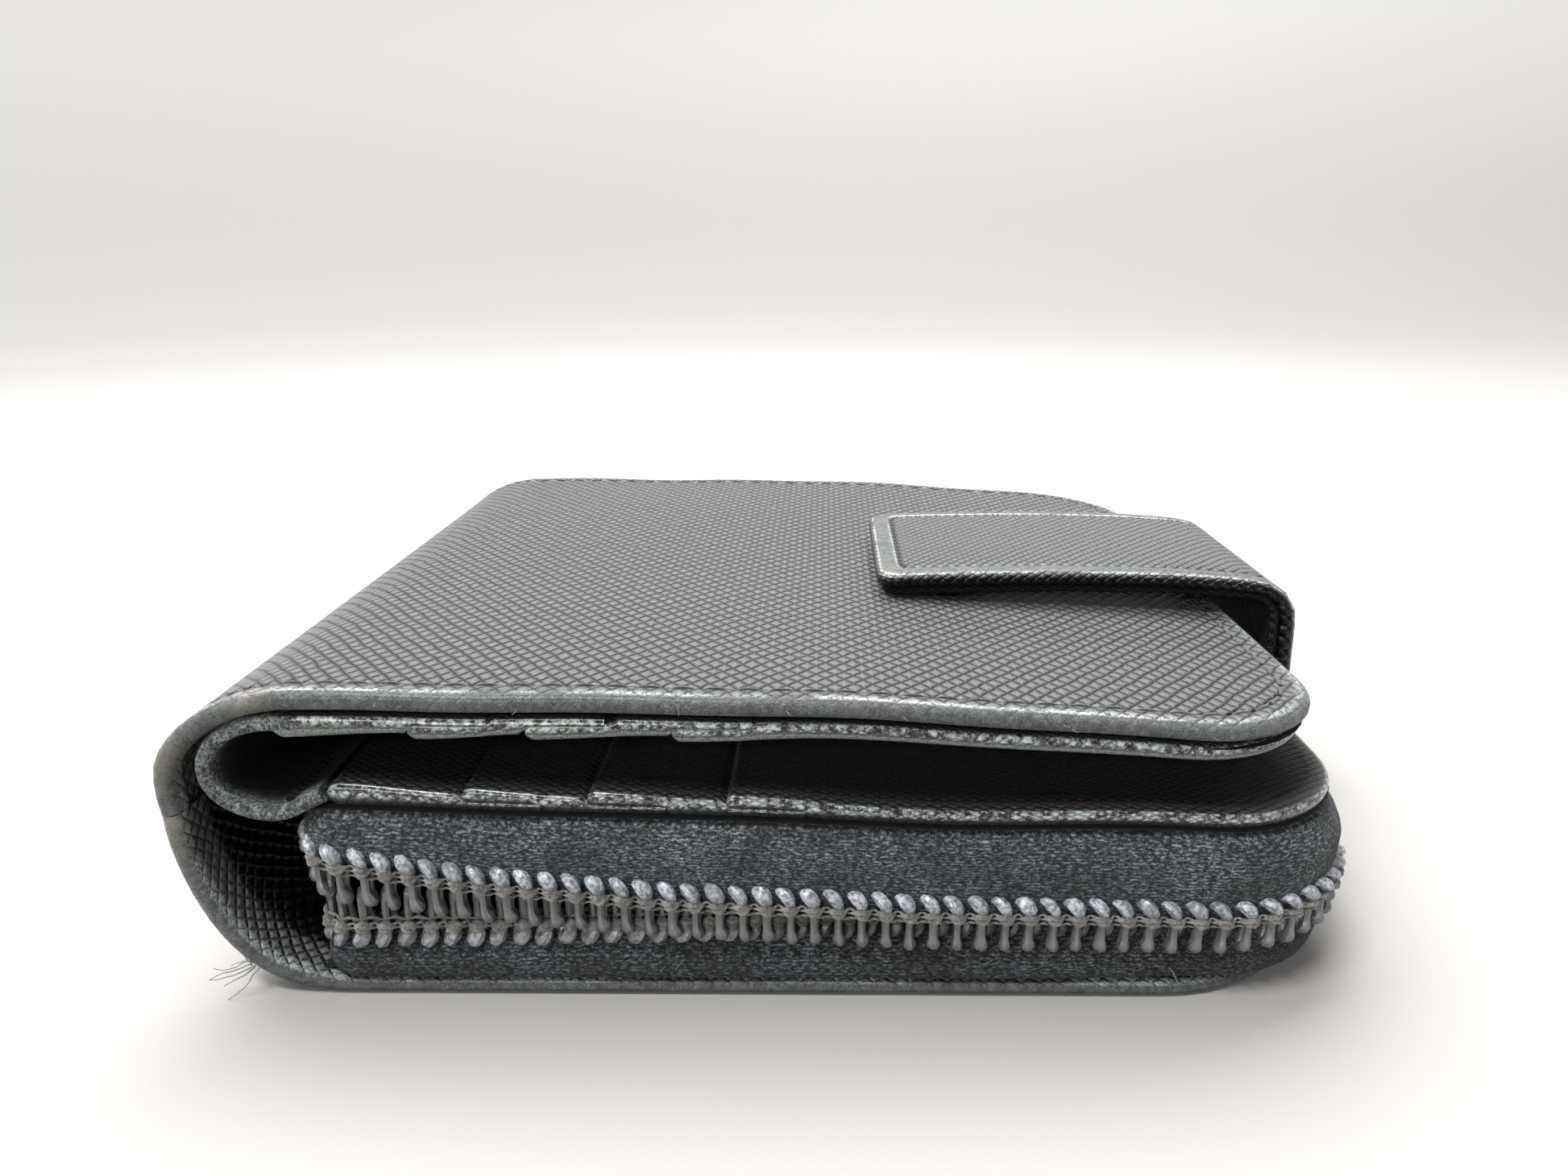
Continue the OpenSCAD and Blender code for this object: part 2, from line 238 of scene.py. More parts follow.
def leather(name, level=92, worn_level=146, cell=(1.7, 2.1), depth=0.7):
    """Cross-hatched calf leather: puffed lens-shaped cells between diagonal creases. The rolled
    edges are smoother, and worn to grey-green felt in patches."""
    s = Shader(name, Specular_IOR_Level=0.22, Coat_Weight=0.1, Coat_Roughness=0.14)
    u, v = s.flat()
    edge = s.attribute("wear_and_shade")
    wear_and_shade = s.math("MAXIMUM", edge, 0.0)
    # Below 0 the edge value paints the leather near-black: painted shade on the strap's lower edge and on the
    # back cover's inner face, and in the stitch groove painted shade over the line of black thread.
    seam_and_shade = s.math("MAXIMUM", s.times(edge, -1.0), 0.0)
    spot = s.attribute("spot")
    drift = s.noise(0.35, 3.0)
    along = s.math("DIVIDE", u, cell[0])
    across = s.madd(drift, 0.5, s.math("DIVIDE", v, cell[1]))
    dome = s.dome(along, across, (1.0, 0.97), 3.2)
    fine = s.noise(3.5, 4.0, 0.6)
    fibre = s.noise(9.0, 3.0, 0.7)
    patch = s.noise(0.33, 3.0, 0.6)
    rubbed = s.times(wear_and_shade, s.band(patch, 0.32, 0.62, 0.35, 1.0), clamp=True)
    cell_left = s.band(wear_and_shade, 0.15, 0.95, 1.0, 0.25)
    relief = s.times(dome, cell_left)
    relief = s.madd(fine, 0.35, relief)
    relief = s.madd(s.times(fibre, rubbed), 1.0, relief)
    # Painted shade: the creases between the cells are darkened, down to about a tenth.
    valley_shade = s.band(dome, 0.0, 0.45, 0.12, 1.0)
    # The base grey is lighter than black leather: partly painted sheen, standing in for the reflection off
    # the leather.
    body = s.mix(s.band(fine, 0.35, 0.7), grey(level), grey(level + 9, (0.98, 1.0, 1.03)))
    crease_shaded = s.node("ShaderNodeVectorMath", body, operation="SCALE")
    s.feed(crease_shaded.inputs["Scale"], s.math("MAXIMUM", valley_shade, s.math("SUBTRACT", 1.0, cell_left)))
    shade = s.times(s.band(fibre, 0.35, 0.65), s.band(s.noise(1.3, 4.0, 0.7), 0.35, 0.65, 0.3, 1.0))
    felt = s.mix(shade, grey(worn_level - 70, GREEN), grey(worn_level + 40, GREEN))
    colour = s.mix(s.times(rubbed, 0.8), crease_shaded.outputs[0], felt)
    # Painted highlight: a pale line along the ridge of the rolled edges, where the leather is also worn pale.
    # The same patches make that ridge smoother.
    polish_and_highlight = s.band(s.noise(0.16, 2.0), 0.34, 0.48)
    crest_highlight = s.times(s.band(edge, 0.16, 0.34), s.band(edge, 0.5, 0.78, 1.0, 0.0))
    crest_highlight = s.times(crest_highlight, s.times(polish_and_highlight, s.band(fine, 0.36, 0.56)))
    colour = s.mix(s.times(crest_highlight, 0.75), colour, grey(196, GREEN))
    s.drive("Coat Weight", s.madd(crest_highlight, 0.6, 0.1))
    straw = s.mix(fibre, grey(112, BEIGE), grey(176, (1.05, 1.0, 0.8)))
    colour = s.mix(s.times(spot, s.band(fibre, 0.2, 0.6)), colour, straw)
    roughness = s.madd(fine, 0.16, 0.3)
    roughness = s.madd(rubbed, s.madd(polish_and_highlight, -0.34, 0.2), roughness)
    # Painted shade: near-black, broken up by noise, where the edge value is below 0.
    ragged_seam_and_shade = s.times(seam_and_shade, s.band(s.noise(1.6, 3.0, 0.6), 0.25, 0.6, 0.6, 1.0))
    colour = s.mix(s.band(ragged_seam_and_shade, 0.25, 0.75), colour, grey(8))
    return s.finish(colour, roughness, s.bump(relief, depth))


def lip_leather(name):
    """The pocket leather seen on edge: a glossy row of folded cells above raw grey fibre."""
    s = Shader(name, Coat_Roughness=0.14)
    u, v = s.flat()
    wear_and_shade = s.attribute("wear_and_shade")
    lip = s.band(wear_and_shade, 0.02, 0.2)
    s.drive("Specular IOR Level", s.madd(lip, 0.5, 0.12))
    s.drive("Coat Weight", s.times(lip, 0.5))
    drift = s.noise(0.6, 2.0)
    along = s.math("DIVIDE", u, 1.35)
    across = s.madd(drift, 0.5, s.math("DIVIDE", v, 0.95))
    dome = s.dome(along, across, (1.0, 1.0), 3.0)
    fibre = s.noise(7.0, 4.0, 0.65)
    raw = s.band(wear_and_shade, 0.45, 0.75)
    relief = s.times(dome, s.math("SUBTRACT", 1.0, s.times(raw, 0.8)))
    relief = s.madd(fibre, 0.4, relief)
    # Painted shade: the creases between the cells are near-black.
    glossy = s.mix(s.band(dome, 0.0, 0.5), grey(8), s.mix(lip, grey(34), grey(40, GREEN)))
    # Painted highlight: a pale line along the middle of the lip, where the leather is also scuffed pale.
    crest_highlight = s.times(s.band(wear_and_shade, 0.14, 0.26), s.band(wear_and_shade, 0.3, 0.6, 1.0, 0.0))
    crest_highlight = s.times(crest_highlight, s.band(s.noise(1.5, 4.0, 0.7), 0.42, 0.6))
    glossy = s.mix(s.times(crest_highlight, 0.85), glossy, grey(190, GREEN))
    felt = s.mix(s.band(fibre, 0.35, 0.65), grey(62, GREEN), grey(150, GREEN))
    colour = s.mix(s.times(raw, 0.9), glossy, felt)
    roughness = s.math("MAXIMUM", s.madd(raw, 0.4, 0.24), s.madd(lip, -0.6, 0.6))
    return s.finish(colour, roughness, s.bump(relief, 0.3))


def felt_leather(name):
    """A raw or scuffed leather band, all grey-green fibre."""
    s = Shader(name, Specular_IOR_Level=0.35)
    wear_and_shade = s.attribute("wear_and_shade")
    fibre = s.noise(3.2, 6.0, 0.8)
    patch = s.noise(0.9, 3.0, 0.6)
    pale = s.times(s.band(fibre, 0.4, 0.62), s.band(patch, 0.35, 0.65, 0.3, 1.0))
    felt = s.mix(pale, grey(40, GREEN), grey(178, GREEN))
    colour = s.mix(wear_and_shade, grey(12), felt)
    return s.finish(colour, 0.72, s.bump(fibre, 0.3))


def woven(name, low, high, depth=0.16):
    """Coarse cloth: slubby floats along the weft, broken into rows, with fine fibre over them."""
    s = Shader(name, Specular_IOR_Level=0.3, Roughness=0.9, Sheen_Weight=0.05, Sheen_Roughness=0.5)
    u, v = s.flat()
    bend = s.times(s.noise(0.8, 3.0, 0.6), 0.6)
    row = s.math("DIVIDE", s.math("ADD", v, bend), 0.36)
    ridge = s.math("ABSOLUTE", s.math("SINE", s.times(row, math.pi)))
    stagger = s.times(s.math("FLOOR", row), 7.31)
    stretch = s.vector(s.times(s.math("ADD", u, stagger), 1.9), s.times(v, 3.4))
    slub = s.band(s.noise(1.0, 2.0, 0.6, stretch), 0.42, 0.66)
    fuzz = s.noise(5.0, 5.0, 0.75)
    bright = s.times(slub, s.madd(ridge, 0.7, 0.3))
    bright = s.times(bright, s.band(fuzz, 0.3, 0.62, 0.25, 1.0))
    rubbed = s.band(s.noise(0.22, 3.0, 0.6), 0.35, 0.65, 0.5, 1.0)
    bright = s.times(rubbed, s.madd(s.band(fuzz, 0.45, 0.75), 0.25, bright, clamp=True))
    colour = s.mix(bright, grey(low, BLUE), grey(high, BLUE))
    relief = s.madd(fuzz, 0.5, s.times(ridge, s.madd(slub, 0.7, 0.3)))
    return s.finish(colour, None, s.bump(relief, depth))


def coil_nylon(name):
    """Grey translucent nylon: silvery and polished on the heels, dull on the legs."""
    s = Shader(name, IOR=1.53, Specular_IOR_Level=0.75, Subsurface_Weight=0.1, Subsurface_Scale=0.0006)
    heel = s.attribute("wear_and_shade")
    scuff = s.noise(2.6, 3.0, 0.6)
    # Here the noise only patches the heels' silver at random, with no painted shade.
    grime_and_shade = s.noise(0.25, 2.0)
    legs = s.mix(scuff, grey(70), grey(116))
    heels = s.mix(s.band(scuff, 0.35, 0.65), grey(112, BLUE), grey(190, (0.92, 1.0, 1.1)))
    polished = s.math("MAXIMUM", heel, 0.0)
    colour = s.mix(s.times(polished, s.band(grime_and_shade, 0.3, 0.55, 0.45, 1.0)), legs, heels)
    # Below 0 the nylon is painted near-black: painted shade on the lower row behind the upper row.
    colour = s.mix(s.times(heel, -1.0, clamp=True), colour, grey(14))
    roughness = s.madd(polished, -0.12, 0.34)
    return s.finish(colour, roughness, s.bump(scuff, 0.08))


def sewing_thread(name, low=48, high=168, tint=BEIGE):
    s = Shader(name, Specular_IOR_Level=0.3, Sheen_Weight=0.4)
    strand = s.noise(3.4, 6.0, 0.8)
    dirt_and_shade = s.noise(0.8, 2.0)
    colour = s.mix(s.times(s.band(strand, 0.3, 0.7), s.band(dirt_and_shade, 0.3, 0.7, 0.5, 1.0)),
                   grey(low, tint), grey(high, tint))
    # A value above 0 paints the thread near-black: painted shade on the lower row's threads.
    colour = s.mix(s.attribute("wear_and_shade"), colour, grey(10))
    return s.finish(colour, 0.8, s.bump(strand, 0.3))


def metal(name, level, rough=0.3):
    s = Shader(name, Metallic=1.0)
    cloud = s.noise(0.9, 3.0, 0.6)
    scratch = s.noise(6.0, 2.0)
    colour = s.mix(cloud, grey(level - 26), grey(level + 14))
    return s.finish(colour, s.madd(scratch, 0.25, rough - 0.1), s.bump(scratch, 0.02))


def board(name):
    s = Shader(name, Specular_IOR_Level=0.2)
    pulp = s.noise(2.0, 4.0, 0.7)
    return s.finish(s.mix(pulp, grey(104, BEIGE), grey(142, BEIGE)), 0.9, s.bump(pulp, 0.05))


# -------- meshes
def new_object(name, points, faces, material):
    mesh = bpy.data.meshes.new(name)
    mesh.from_pydata((np.array(points, float) * MM).tolist(), [], [list(map(int, f)) for f in faces])
    mesh.polygons.foreach_set("use_smooth", [True] * len(mesh.polygons))
    mesh.materials.append(material)
    obj = bpy.data.objects.new(name, mesh)
    bpy.context.scene.collection.objects.link(obj)
    return obj


def make(name, points, faces, material, slot, nodes=(), body=None, turn=None,
         flat=None, wear_and_shade=None, spot=None, sharp=40, shape=settle):
    """One object from points in millimetres. turn is (body, body, start, end) for a soft piece
    that crosses a joint, and body is the body that any other piece rides on. wear is above 0 on
    worn edges and below 0 where the piece is painted near-black as painted shade; on the zip's
    threads a value above 0 paints them near-black as painted shade."""
    placed = shape(points)
    obj = new_object(name, placed, faces, material)
    mesh = obj.data
    work = bmesh.new()
    work.from_mesh(mesh)
    bmesh.ops.recalc_face_normals(work, faces=work.faces)
    work.to_mesh(mesh)
    work.free()
    for label, values in (("wear_and_shade", wear_and_shade), ("spot", spot)):
        data = np.zeros(len(points)) if values is None else np.asarray(values, float)
        mesh.attributes.new(label, "FLOAT", "POINT").data.foreach_set("value", data.astype(np.float32))
    unrolled = np.zeros((len(points), 3), np.float32)
    unrolled[:, :2] = placed[:, :2] if flat is None else flat
    mesh.attributes.new("flat", "FLOAT_VECTOR", "POINT").data.foreach_set("vector", unrolled.ravel())
    mesh.set_sharp_from_angle(angle=math.radians(sharp))
    if nodes:
        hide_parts(*nodes)
    if turn is not None:
        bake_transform(obj)
    else:
        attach(obj, body)
    return obj


def line(start, end, step=1.0):
    """Points from start towards end, without the end point."""
    a, b = np.array(start, float), np.array(end, float)
    count = max(1, int(np.hypot(*(b - a)) / step))
    return [tuple(a + (b - a) * i / count) for i in range(count)]


def line_to(start, end):
    """Points from start to end, with the end point."""
    return line(start, end) + [end]


def arc(centre, radius, start, end, count=16):
    """Points on a circle in the XZ plane, from one angle to another in degrees."""
    angles = np.radians(np.linspace(start, end, count))
    return [(centre[0] + radius * math.cos(a), centre[1] + radius * math.sin(a)) for a in angles]


def spline(points, count=6):
    """A smooth line through given points."""
    p = np.array(points, float)
    p = np.vstack([2 * p[0] - p[1], p, 2 * p[-1] - p[-2]])
    out = []
    for i in range(1, len(p) - 2):
        for t in np.arange(count) / count:
            out.append(0.5 * (2 * p[i] + (p[i + 1] - p[i - 1]) * t
                              + (2 * p[i - 1] - 5 * p[i] + 4 * p[i + 1] - p[i + 2]) * t**2
                              + (3 * p[i] - p[i - 1] - 3 * p[i + 1] + p[i + 2]) * t**3))
    out.append(p[-2])
    return [tuple(q) for q in out]


def distances(points):
    """Distance along a line at each of its points."""
    return np.r_[0, np.cumsum(np.hypot(*np.diff(points, axis=0).T))]


def directions(points, along):
    tangent = np.gradient(points, along, axis=0)
    return tangent / np.linalg.norm(tangent, axis=1)[:, None]


class Route:
    """A line in the XZ plane that a sheet follows. Its outward side is on the left of the way it
    runs when side is 1, and on the right when side is -1."""

    def __init__(self, points, side=1):
        self.points = np.array(points, float)
        self.u = distances(self.points)
        tangent = directions(self.points, self.u)
        self.normal = side * np.stack([-tangent[:, 1], tangent[:, 0]], axis=1)

    @property
    def length(self):
        return self.u[-1]

    def at(self, u, height):
        x, z, nx, nz = (np.interp(u, self.u, column) for column in
                        (*self.points.T, *self.normal.T))
        return x + nx * height, z + nz * height

    def where(self, x):
        """Distance along the route at which a route that ends in a level run reaches x."""
        return self.length - abs(self.points[-1][0] - x)


# Half sections of a sheet's edge, from the flat top round to the flat underside. Each point is
# (inset from the edge, height, wear). Height 1 is the top face and -1 the underside, and below -1
# it counts in millimetres. Above 0 the leather is worn felt, and near 0.3 it carries a painted
# highlight along the rolled ridge; at -1 it is painted near-black: painted shade in the stitch
# groove, which also holds the black thread.
ROLLED = [(6, 1, 0), (4, 1, 0), (3.2, 1, 0), (2.9, 0.95, 0), (2.65, 0.66, -1),
          (2.5, 0.66, -1), (2.25, 0.92, 0.1), (1.7, 1.05, 0.15), (1.0, 1.04, 0.3), (0.55, 0.85, 0.7),
          (0.25, 0.5, 1), (0.06, 0.1, 1), (0, -0.4, 1)]
TURNED = ROLLED + [(0.05, -1.05, 0.95), (0.28, -1.42, 0.8), (0.8, -1.66, 0.6), (1.6, -1.68, 0.4),
                   (2.3, -1.5, 0.2), (2.6, -1.02, 0), (6, -1, 0)]
EVEN = ROLLED + [(0.06, -0.75, 0.9), (0.3, -0.96, 0.6), (1.2, -1, 0.3), (3, -1, 0), (6, -1, 0)]
THIN = [(3, 1, 0), (1.2, 1, 0), (0.4, 0.9, 0), (0.1, 0.5, 0), (0, 0, 0),
        (0.1, -0.5, 0), (0.4, -0.9, 0), (1.2, -1, 0), (3, -1, 0)]
EDGE_BAND = [(5, 1, 0.0), (2.5, 1, 0.1), (1.0, 1, 0.7), (0.4, 0.93, 1), (0.1, 0.6, 1), (0, 0, 1),
             (0.1, -0.6, 1), (0.4, -0.93, 1), (1.0, -1, 0.7), (2.5, -1, 0.1), (5, -1, 0.0)]
# The strap's lower edge is painted near-black (-1): painted shade under the strap.
STRAP_EDGE = [(6, 1, 0), (3.9, 1, 0), (3.3, 0.92, 0), (3.0, 0.6, -1), (2.8, 0.6, -1),
              (2.5, 0.95, 0.5), (2.0, 1.12, 0.9), (1.3, 1.1, 0.9), (0.75, 0.9, 0.8), (0.35, 0.5, 0.2),
              (0.1, 0.0, -0.8), (0, -0.5, -1), (0.03, -1.0, -1), (0.15, -1.4, -1), (0.4, -1.6, -1),
              (0.7, -1.55, -1), (1.1, -1.02, -0.5), (6, -1, 0)]
LIP_FORM = [(5, 1), (3.2, 1), (2.5, 1.0), (2.25, 0.82), (2.0, 0.84), (1.7, 1.0), (0.9, 1.04), (0.45, 0.9),
            (0.15, 0.55), (0.02, 0.1), (0, -0.35), (0.04, -0.9), (0.15, -1.3), (0.45, -1.55), (1.2, -1.55),
            (1.6, -1.02), (5, -1)]
# Lip values near 0.3 place the painted highlight along the lip; higher values are raw felt.
LIP_WEAR = (0, 0, 0.02, 0.02, 0.02, 0.05, 0.08, 0.12, 0.28, 0.3, 0.28, 0.12, 0.08, 0.08, 0.05, 0.02, 0)
LIP_BELOW_WEAR = (0, 0, 0.02, 0.02, 0.02, 0.05, 0.4, 0.9, 1, 0.8, 0.5, 0.28, 0.26, 0.1, 0.05, 0.02, 0)
LIP = [(d, h, w) for (d, h), w in zip(LIP_FORM, LIP_WEAR)]
LIP_BELOW = [(d, h, w) for (d, h), w in zip(LIP_FORM, LIP_BELOW_WEAR)]


def sheet(name, route, start, end, half, rim, top, under, corner=0.0, square=1.0, step=1.6,
          rows=26, nose=0.0, worn=None, under_face_shade=0.0, spots=(), **settings):
    """A sheet that follows a route from start to end, with rolled near and far edges. With a
    corner radius its last end is rolled too. top and under give its faces' heights along it.
    worn changes the wear, under_face_shade sets the under face's value, -1 painting it near-black as painted
    shade, and spots are yellowish."""
    def as_function(value):
        return value if callable(value) else lambda u: np.full(np.shape(u), float(value))

    top, under = as_function(top), as_function(under)
    level_end = end - corner
    us = list(np.linspace(start + nose, level_end, max(2, int((level_end - start - nose) / step))))
    if nose:
        us = [start + nose * (1 - math.cos(a)) for a in np.linspace(0.12, 1.35, 6)] + us
    inset, last = rim[0][0], len(rim) - 1
    near = [(u, corner - half, 0.0, -1.0) for u in us]
    if corner:
        for a in np.radians(np.linspace(0, 90, 13))[1:]:
            q = (math.sin(a) ** square, -math.cos(a) ** square if a < math.radians(89.9) else 0.0)
            near.append((level_end, corner - half, *q))
    count = len(near)
    shares = np.linspace(0, 1, rows)

    def spot_of(station, d):
        cu, cy, qu, qy = station
        return cu + (corner - d) * qu, cy + (corner - d) * qy

    mirrored = [(cu, -cy, qu, -qy) for cu, cy, qu, qy in near]
    plan = []
    for station in near:
        u, y = spot_of(station, inset)
        plan += [(u, y + (-2 * y) * share) for share in shares]
    right = []
    if corner:
        y0 = spot_of(near[-1], inset)[1]
        right = [(level_end, y0 - 2 * y0 * share, 1.0, 0.0) for share in shares[1:-1]]
    stations = near + right + mirrored[::-1]
    grid_index = [(i, 0) for i in range(count)]
    grid_index += [(count - 1, j + 1) for j in range(len(right))]
    grid_index += [(i, rows - 1) for i in range(count - 1, -1, -1)]

    size = count * rows
    flat_u = [p[0] for p in plan] * 2
    flat_y = [p[1] for p in plan] * 2
    level = [1.0] * size + [-1.0] * size
    shift = [(0.0, 0.0)] * (2 * size)
    wear_and_shade = [0.0] * (2 * size)
    for station in stations:
        for d, h, amount in rim[1:-1]:
            u, y = spot_of(station, d)
            flat_u.append(u)
            flat_y.append(y)
            level.append(h)
            wear_and_shade.append(amount)
            out = max(0.0, 1 - h) * 0.8 * (1 - d / inset)
            shift.append((station[2] * out, station[3] * out))
    u, y, h = np.array(flat_u), np.array(flat_y), np.array(level)
    high, low = top(u), under(u)
    height = np.where(h >= -1, (high + low) / 2 + h * (high - low) / 2, low + h + 1)
    x, z = route.at(u, height)
    points = np.stack([x, y, z], axis=1)
    flat = np.stack([u, y], axis=1) + np.array(shift)

    def ring(k, m):
        i, j = grid_index[k]
        if m == 0:
            return i * rows + j
        if m == last:
            return size + i * rows + j
        return 2 * size + k * (last - 1) + m - 1

    faces = []
    for i in range(count - 1):
        for j in range(rows - 1):
            a, b = i * rows + j, (i + 1) * rows + j
            faces.append((a, b, b + 1, a + 1))
            faces.append((size + a, size + a + 1, size + b + 1, size + b))
    for k in range(len(stations) - 1):
        if not corner and k == count - 1:
            continue
        for m in range(last):
            faces.append((ring(k, m), ring(k, m + 1), ring(k + 1, m + 1), ring(k + 1, m)))
    open_ends = [(0, 0, len(stations) - 1)]
    if not corner:
        open_ends.append((count - 1, count - 1, count))
    for i, near_k, far_k in open_ends:
        for j in range(rows - 1):
            a = i * rows + j
            faces.append((a, a + 1, size + a + 1, size + a))
        for k in (near_k, far_k):
            faces.append(tuple(ring(k, m) for m in range(last + 1)))
    wear_and_shade = np.array(wear_and_shade)
    wear_and_shade[size:2 * size] = under_face_shade
    if worn is not None:
        wear_and_shade = np.clip(worn(points, wear_and_shade), -1, 1)
    spot = np.zeros(len(points))
    for centre, radius in spots:
        away = np.linalg.norm(points - np.array(centre), axis=1)
        spot = np.maximum(spot, np.clip(1.3 * (1 - away / radius), 0, 1))
    return make(name, points, faces, flat=flat, wear_and_shade=wear_and_shade, spot=spot, **settings)


def ring_faces(rings, sides):
    """Quads between neighbouring rings, then a cap on the first ring and one on the last."""
    pairs = [(j, (j + 1) % sides) for j in range(sides)]
    quads = [(a + j, a + k, a + sides + k, a + sides + j)
             for a in range(0, (rings - 1) * sides, sides) for j, k in pairs]
    return quads + [tuple(range(sides)), tuple((rings - 1) * sides + j for j in range(sides))]


def turned_points(profile, centre, segments):
    """Points round a vertical line, from (radius, height) points."""
    angles = [2 * math.pi * k / segments for k in range(segments)]
    return [(centre[0] + radius * math.cos(a), centre[1] + radius * math.sin(a), height)
            for radius, height in profile for a in angles]


def tube(points, radii, sides, squash=1.0):
    """Points and faces of a tube along a line. squash flattens it along its second axis."""
    p = np.array(points, float)
    r = np.broadcast_to(np.array(radii, float), (len(p),))
    tangent = np.gradient(p, axis=0)
    tangent /= np.linalg.norm(tangent, axis=1)[:, None]
    side = np.cross(tangent[0], [0.0, 0.0, 1.0])
    if np.linalg.norm(side) < 0.2:
        side = np.cross(tangent[0], [1.0, 0.0, 0.0])
    ring_angles = np.linspace(0, 2 * math.pi, sides, endpoint=False)
    out = []
    for centre, direction, radius in zip(p, tangent, r):
        side = side - direction * np.dot(side, direction)
        side /= np.linalg.norm(side)
        up = np.cross(direction, side)
        for a in ring_angles:
            out.append(centre + radius * (math.cos(a) * side + squash * math.sin(a) * up))
    return np.array(out), ring_faces(len(p), sides)


class Heap:
    """Several separate solids gathered into one object."""

    def __init__(self):
        self.points, self.faces, self.wear_and_shade, self.total = [], [], [], 0

    def add(self, solid, wear_and_shade=0.0):
        points, faces = solid
        self.points.append(points)
        self.faces += [tuple(self.total + i for i in face) for face in faces]
        self.wear_and_shade.append(np.broadcast_to(wear_and_shade, (len(points),)))
        self.total += len(points)

    def make(self, name, *args, **settings):
        return make(name, np.vstack(self.points), self.faces, *args,
                    wear_and_shade=np.concatenate(self.wear_and_shade), **settings)


def lathe(profile, centre, segments=40):
    """A turned solid about a vertical line."""
    return np.array(turned_points(profile, centre, segments)), ring_faces(len(profile), segments)


# -------- the materials in use
# Both leathers' base greys are lighter than black leather: partly painted sheen, a little less of it on the
# strap.
COVER = leather("cover_leather")
STRAP = leather("strap_leather", level=80, worn_level=138, cell=(1.3, 1.6), depth=0.3)
POCKET = lip_leather("pocket_leather")
FOLD = felt_leather("fold_leather")
LINING = woven("lining_fabric", 14, 34, depth=0.03)
TAPE = woven("zip_tape", 24, 158)
# The lower tape is the same cloth as the upper one in darker greys: painted shade, as it is tucked under the
# coil.
SHADED_LOWER_TAPE = woven("lower_zip_tape", 18, 128)
NYLON = coil_nylon("zip_nylon")
CHAIN_THREAD = sewing_thread("chain_thread", tint=(1.03, 1.0, 0.92))
SEAM_THREAD = sewing_thread("seam_thread", 20, 52, (1.0, 1.0, 1.0))
STRAY = sewing_thread("stray_fibre", 110, 170, GREEN)
METAL = metal("zip_metal", 128)
SNAP = metal("snap_metal", 158, 0.25)
BOARD = board("board")

TO_FRONT = ("middle_leaf", "front_leaf", (SPINE_X, 0, SPINE_Z - 1), (FOLD_X, 0, TOP))
TO_MIDDLE = ("back_leaf", "middle_leaf", (-46, 0, 2), (SPINE_X, 0, SPINE_Z - 1))
INNER_TURN = ("middle_leaf", "front_leaf", (-46, 0, 20), (-46, 0, 27))


# -------- outer leather
def outer_leather():
    """The cover and the upper half of the spine are one piece of leather, and the back and the
    lower half are another. They meet on the spine."""
    upper = Route(spline([(SPINE_X + 0.3, SPINE_Z), (-55.9, 21), (-55.4, 23.8), (-53.6, 26.3),
                          (-50.6, 28.5), (-47.2, 29.9), (FOLD_X, TOP)], 8)[:-1]
                  + line_to((FOLD_X, TOP), (FRONT_X, TOP)))
    sheet("front_cover_leather", upper, 0, upper.length, HALF, TURNED, 0, -COVER_T, corner=CORNER,
          material=COVER, slot="cover_leather", nodes=("front_cover", "upper_spine"), turn=TO_FRONT,
          spots=(((-54.8, -HALF, 24.5), 3.4), ((-46, -HALF, 30), 2.6), ((-54.8, HALF, 23), 3)),
          worn=lambda p, w: w + 0.12 * np.exp(-((p[:, 0] + 53) / 3.0) ** 2) * (w >= 0))

    lower = Route(spline([(SPINE_X + 0.3, SPINE_Z), (-55.6, 16), (-55.0, 13), (-54.0, 9.8), (-52.4, 6.4),
                          (-50.2, 3.5), (-47.6, 1.5), (-44.5, 0.35), (-41.0, 0)], 6)[:-1]
                  + line_to((-41.0, 0), (BACK_X, 0)), side=-1)

    def inner_face(u):
        x, z = lower.at(u, 0.0)
        return -COVER_T - 0.6 * smooth((-40 - x) / 4)

    # The back cover's inner face is painted near-black: painted shade inside the spine.
    sheet("back_cover_leather", lower, 0, lower.length, HALF, EVEN, 0, inner_face, corner=CORNER + 3,
          material=COVER, slot="cover_leather", nodes=("back_cover", "lower_spine"), turn=TO_MIDDLE,
          under_face_shade=-1.0, spots=(((-55.5, -HALF, 18), 3.5),))


# -------- leaves
def level_route(z, end, side=1):
    return Route(line_to((FOLD_X - 4, z), (end, z)), side)


def flat_layer(name, node, material, slot, body, inset):
    """A level layer with round corners at the opening edge, where its CAD node lies."""
    low, high = corners_mm(node)
    mid = (low[2] + high[2]) / 2
    half_t = (high[2] - low[2]) / 2
    end = high[0] - inset
    route = level_route(mid, end)
    start = route.where(low[0])
    sheet(name, route, start, route.length, high[1] - inset, THIN, half_t, -half_t,
          corner=CORNER - (HALF - high[1]) - inset, step=3.0, rows=12,
          material=material, slot=slot, nodes=(node,), body=body)


NOSE = 0.8  # length of a pocket's rounded mouth
LAP = 7.0  # how far a pocket runs on under the mouth of the next
TAIL_T = 0.4  # thickness of that part


def nose_share(u, start):
    """0 at a pocket's mouth and 1 where its full thickness begins."""
    return np.sqrt(np.clip(1 - ((start + NOSE - u) / NOSE).clip(0, 1) ** 2, 0, 1))


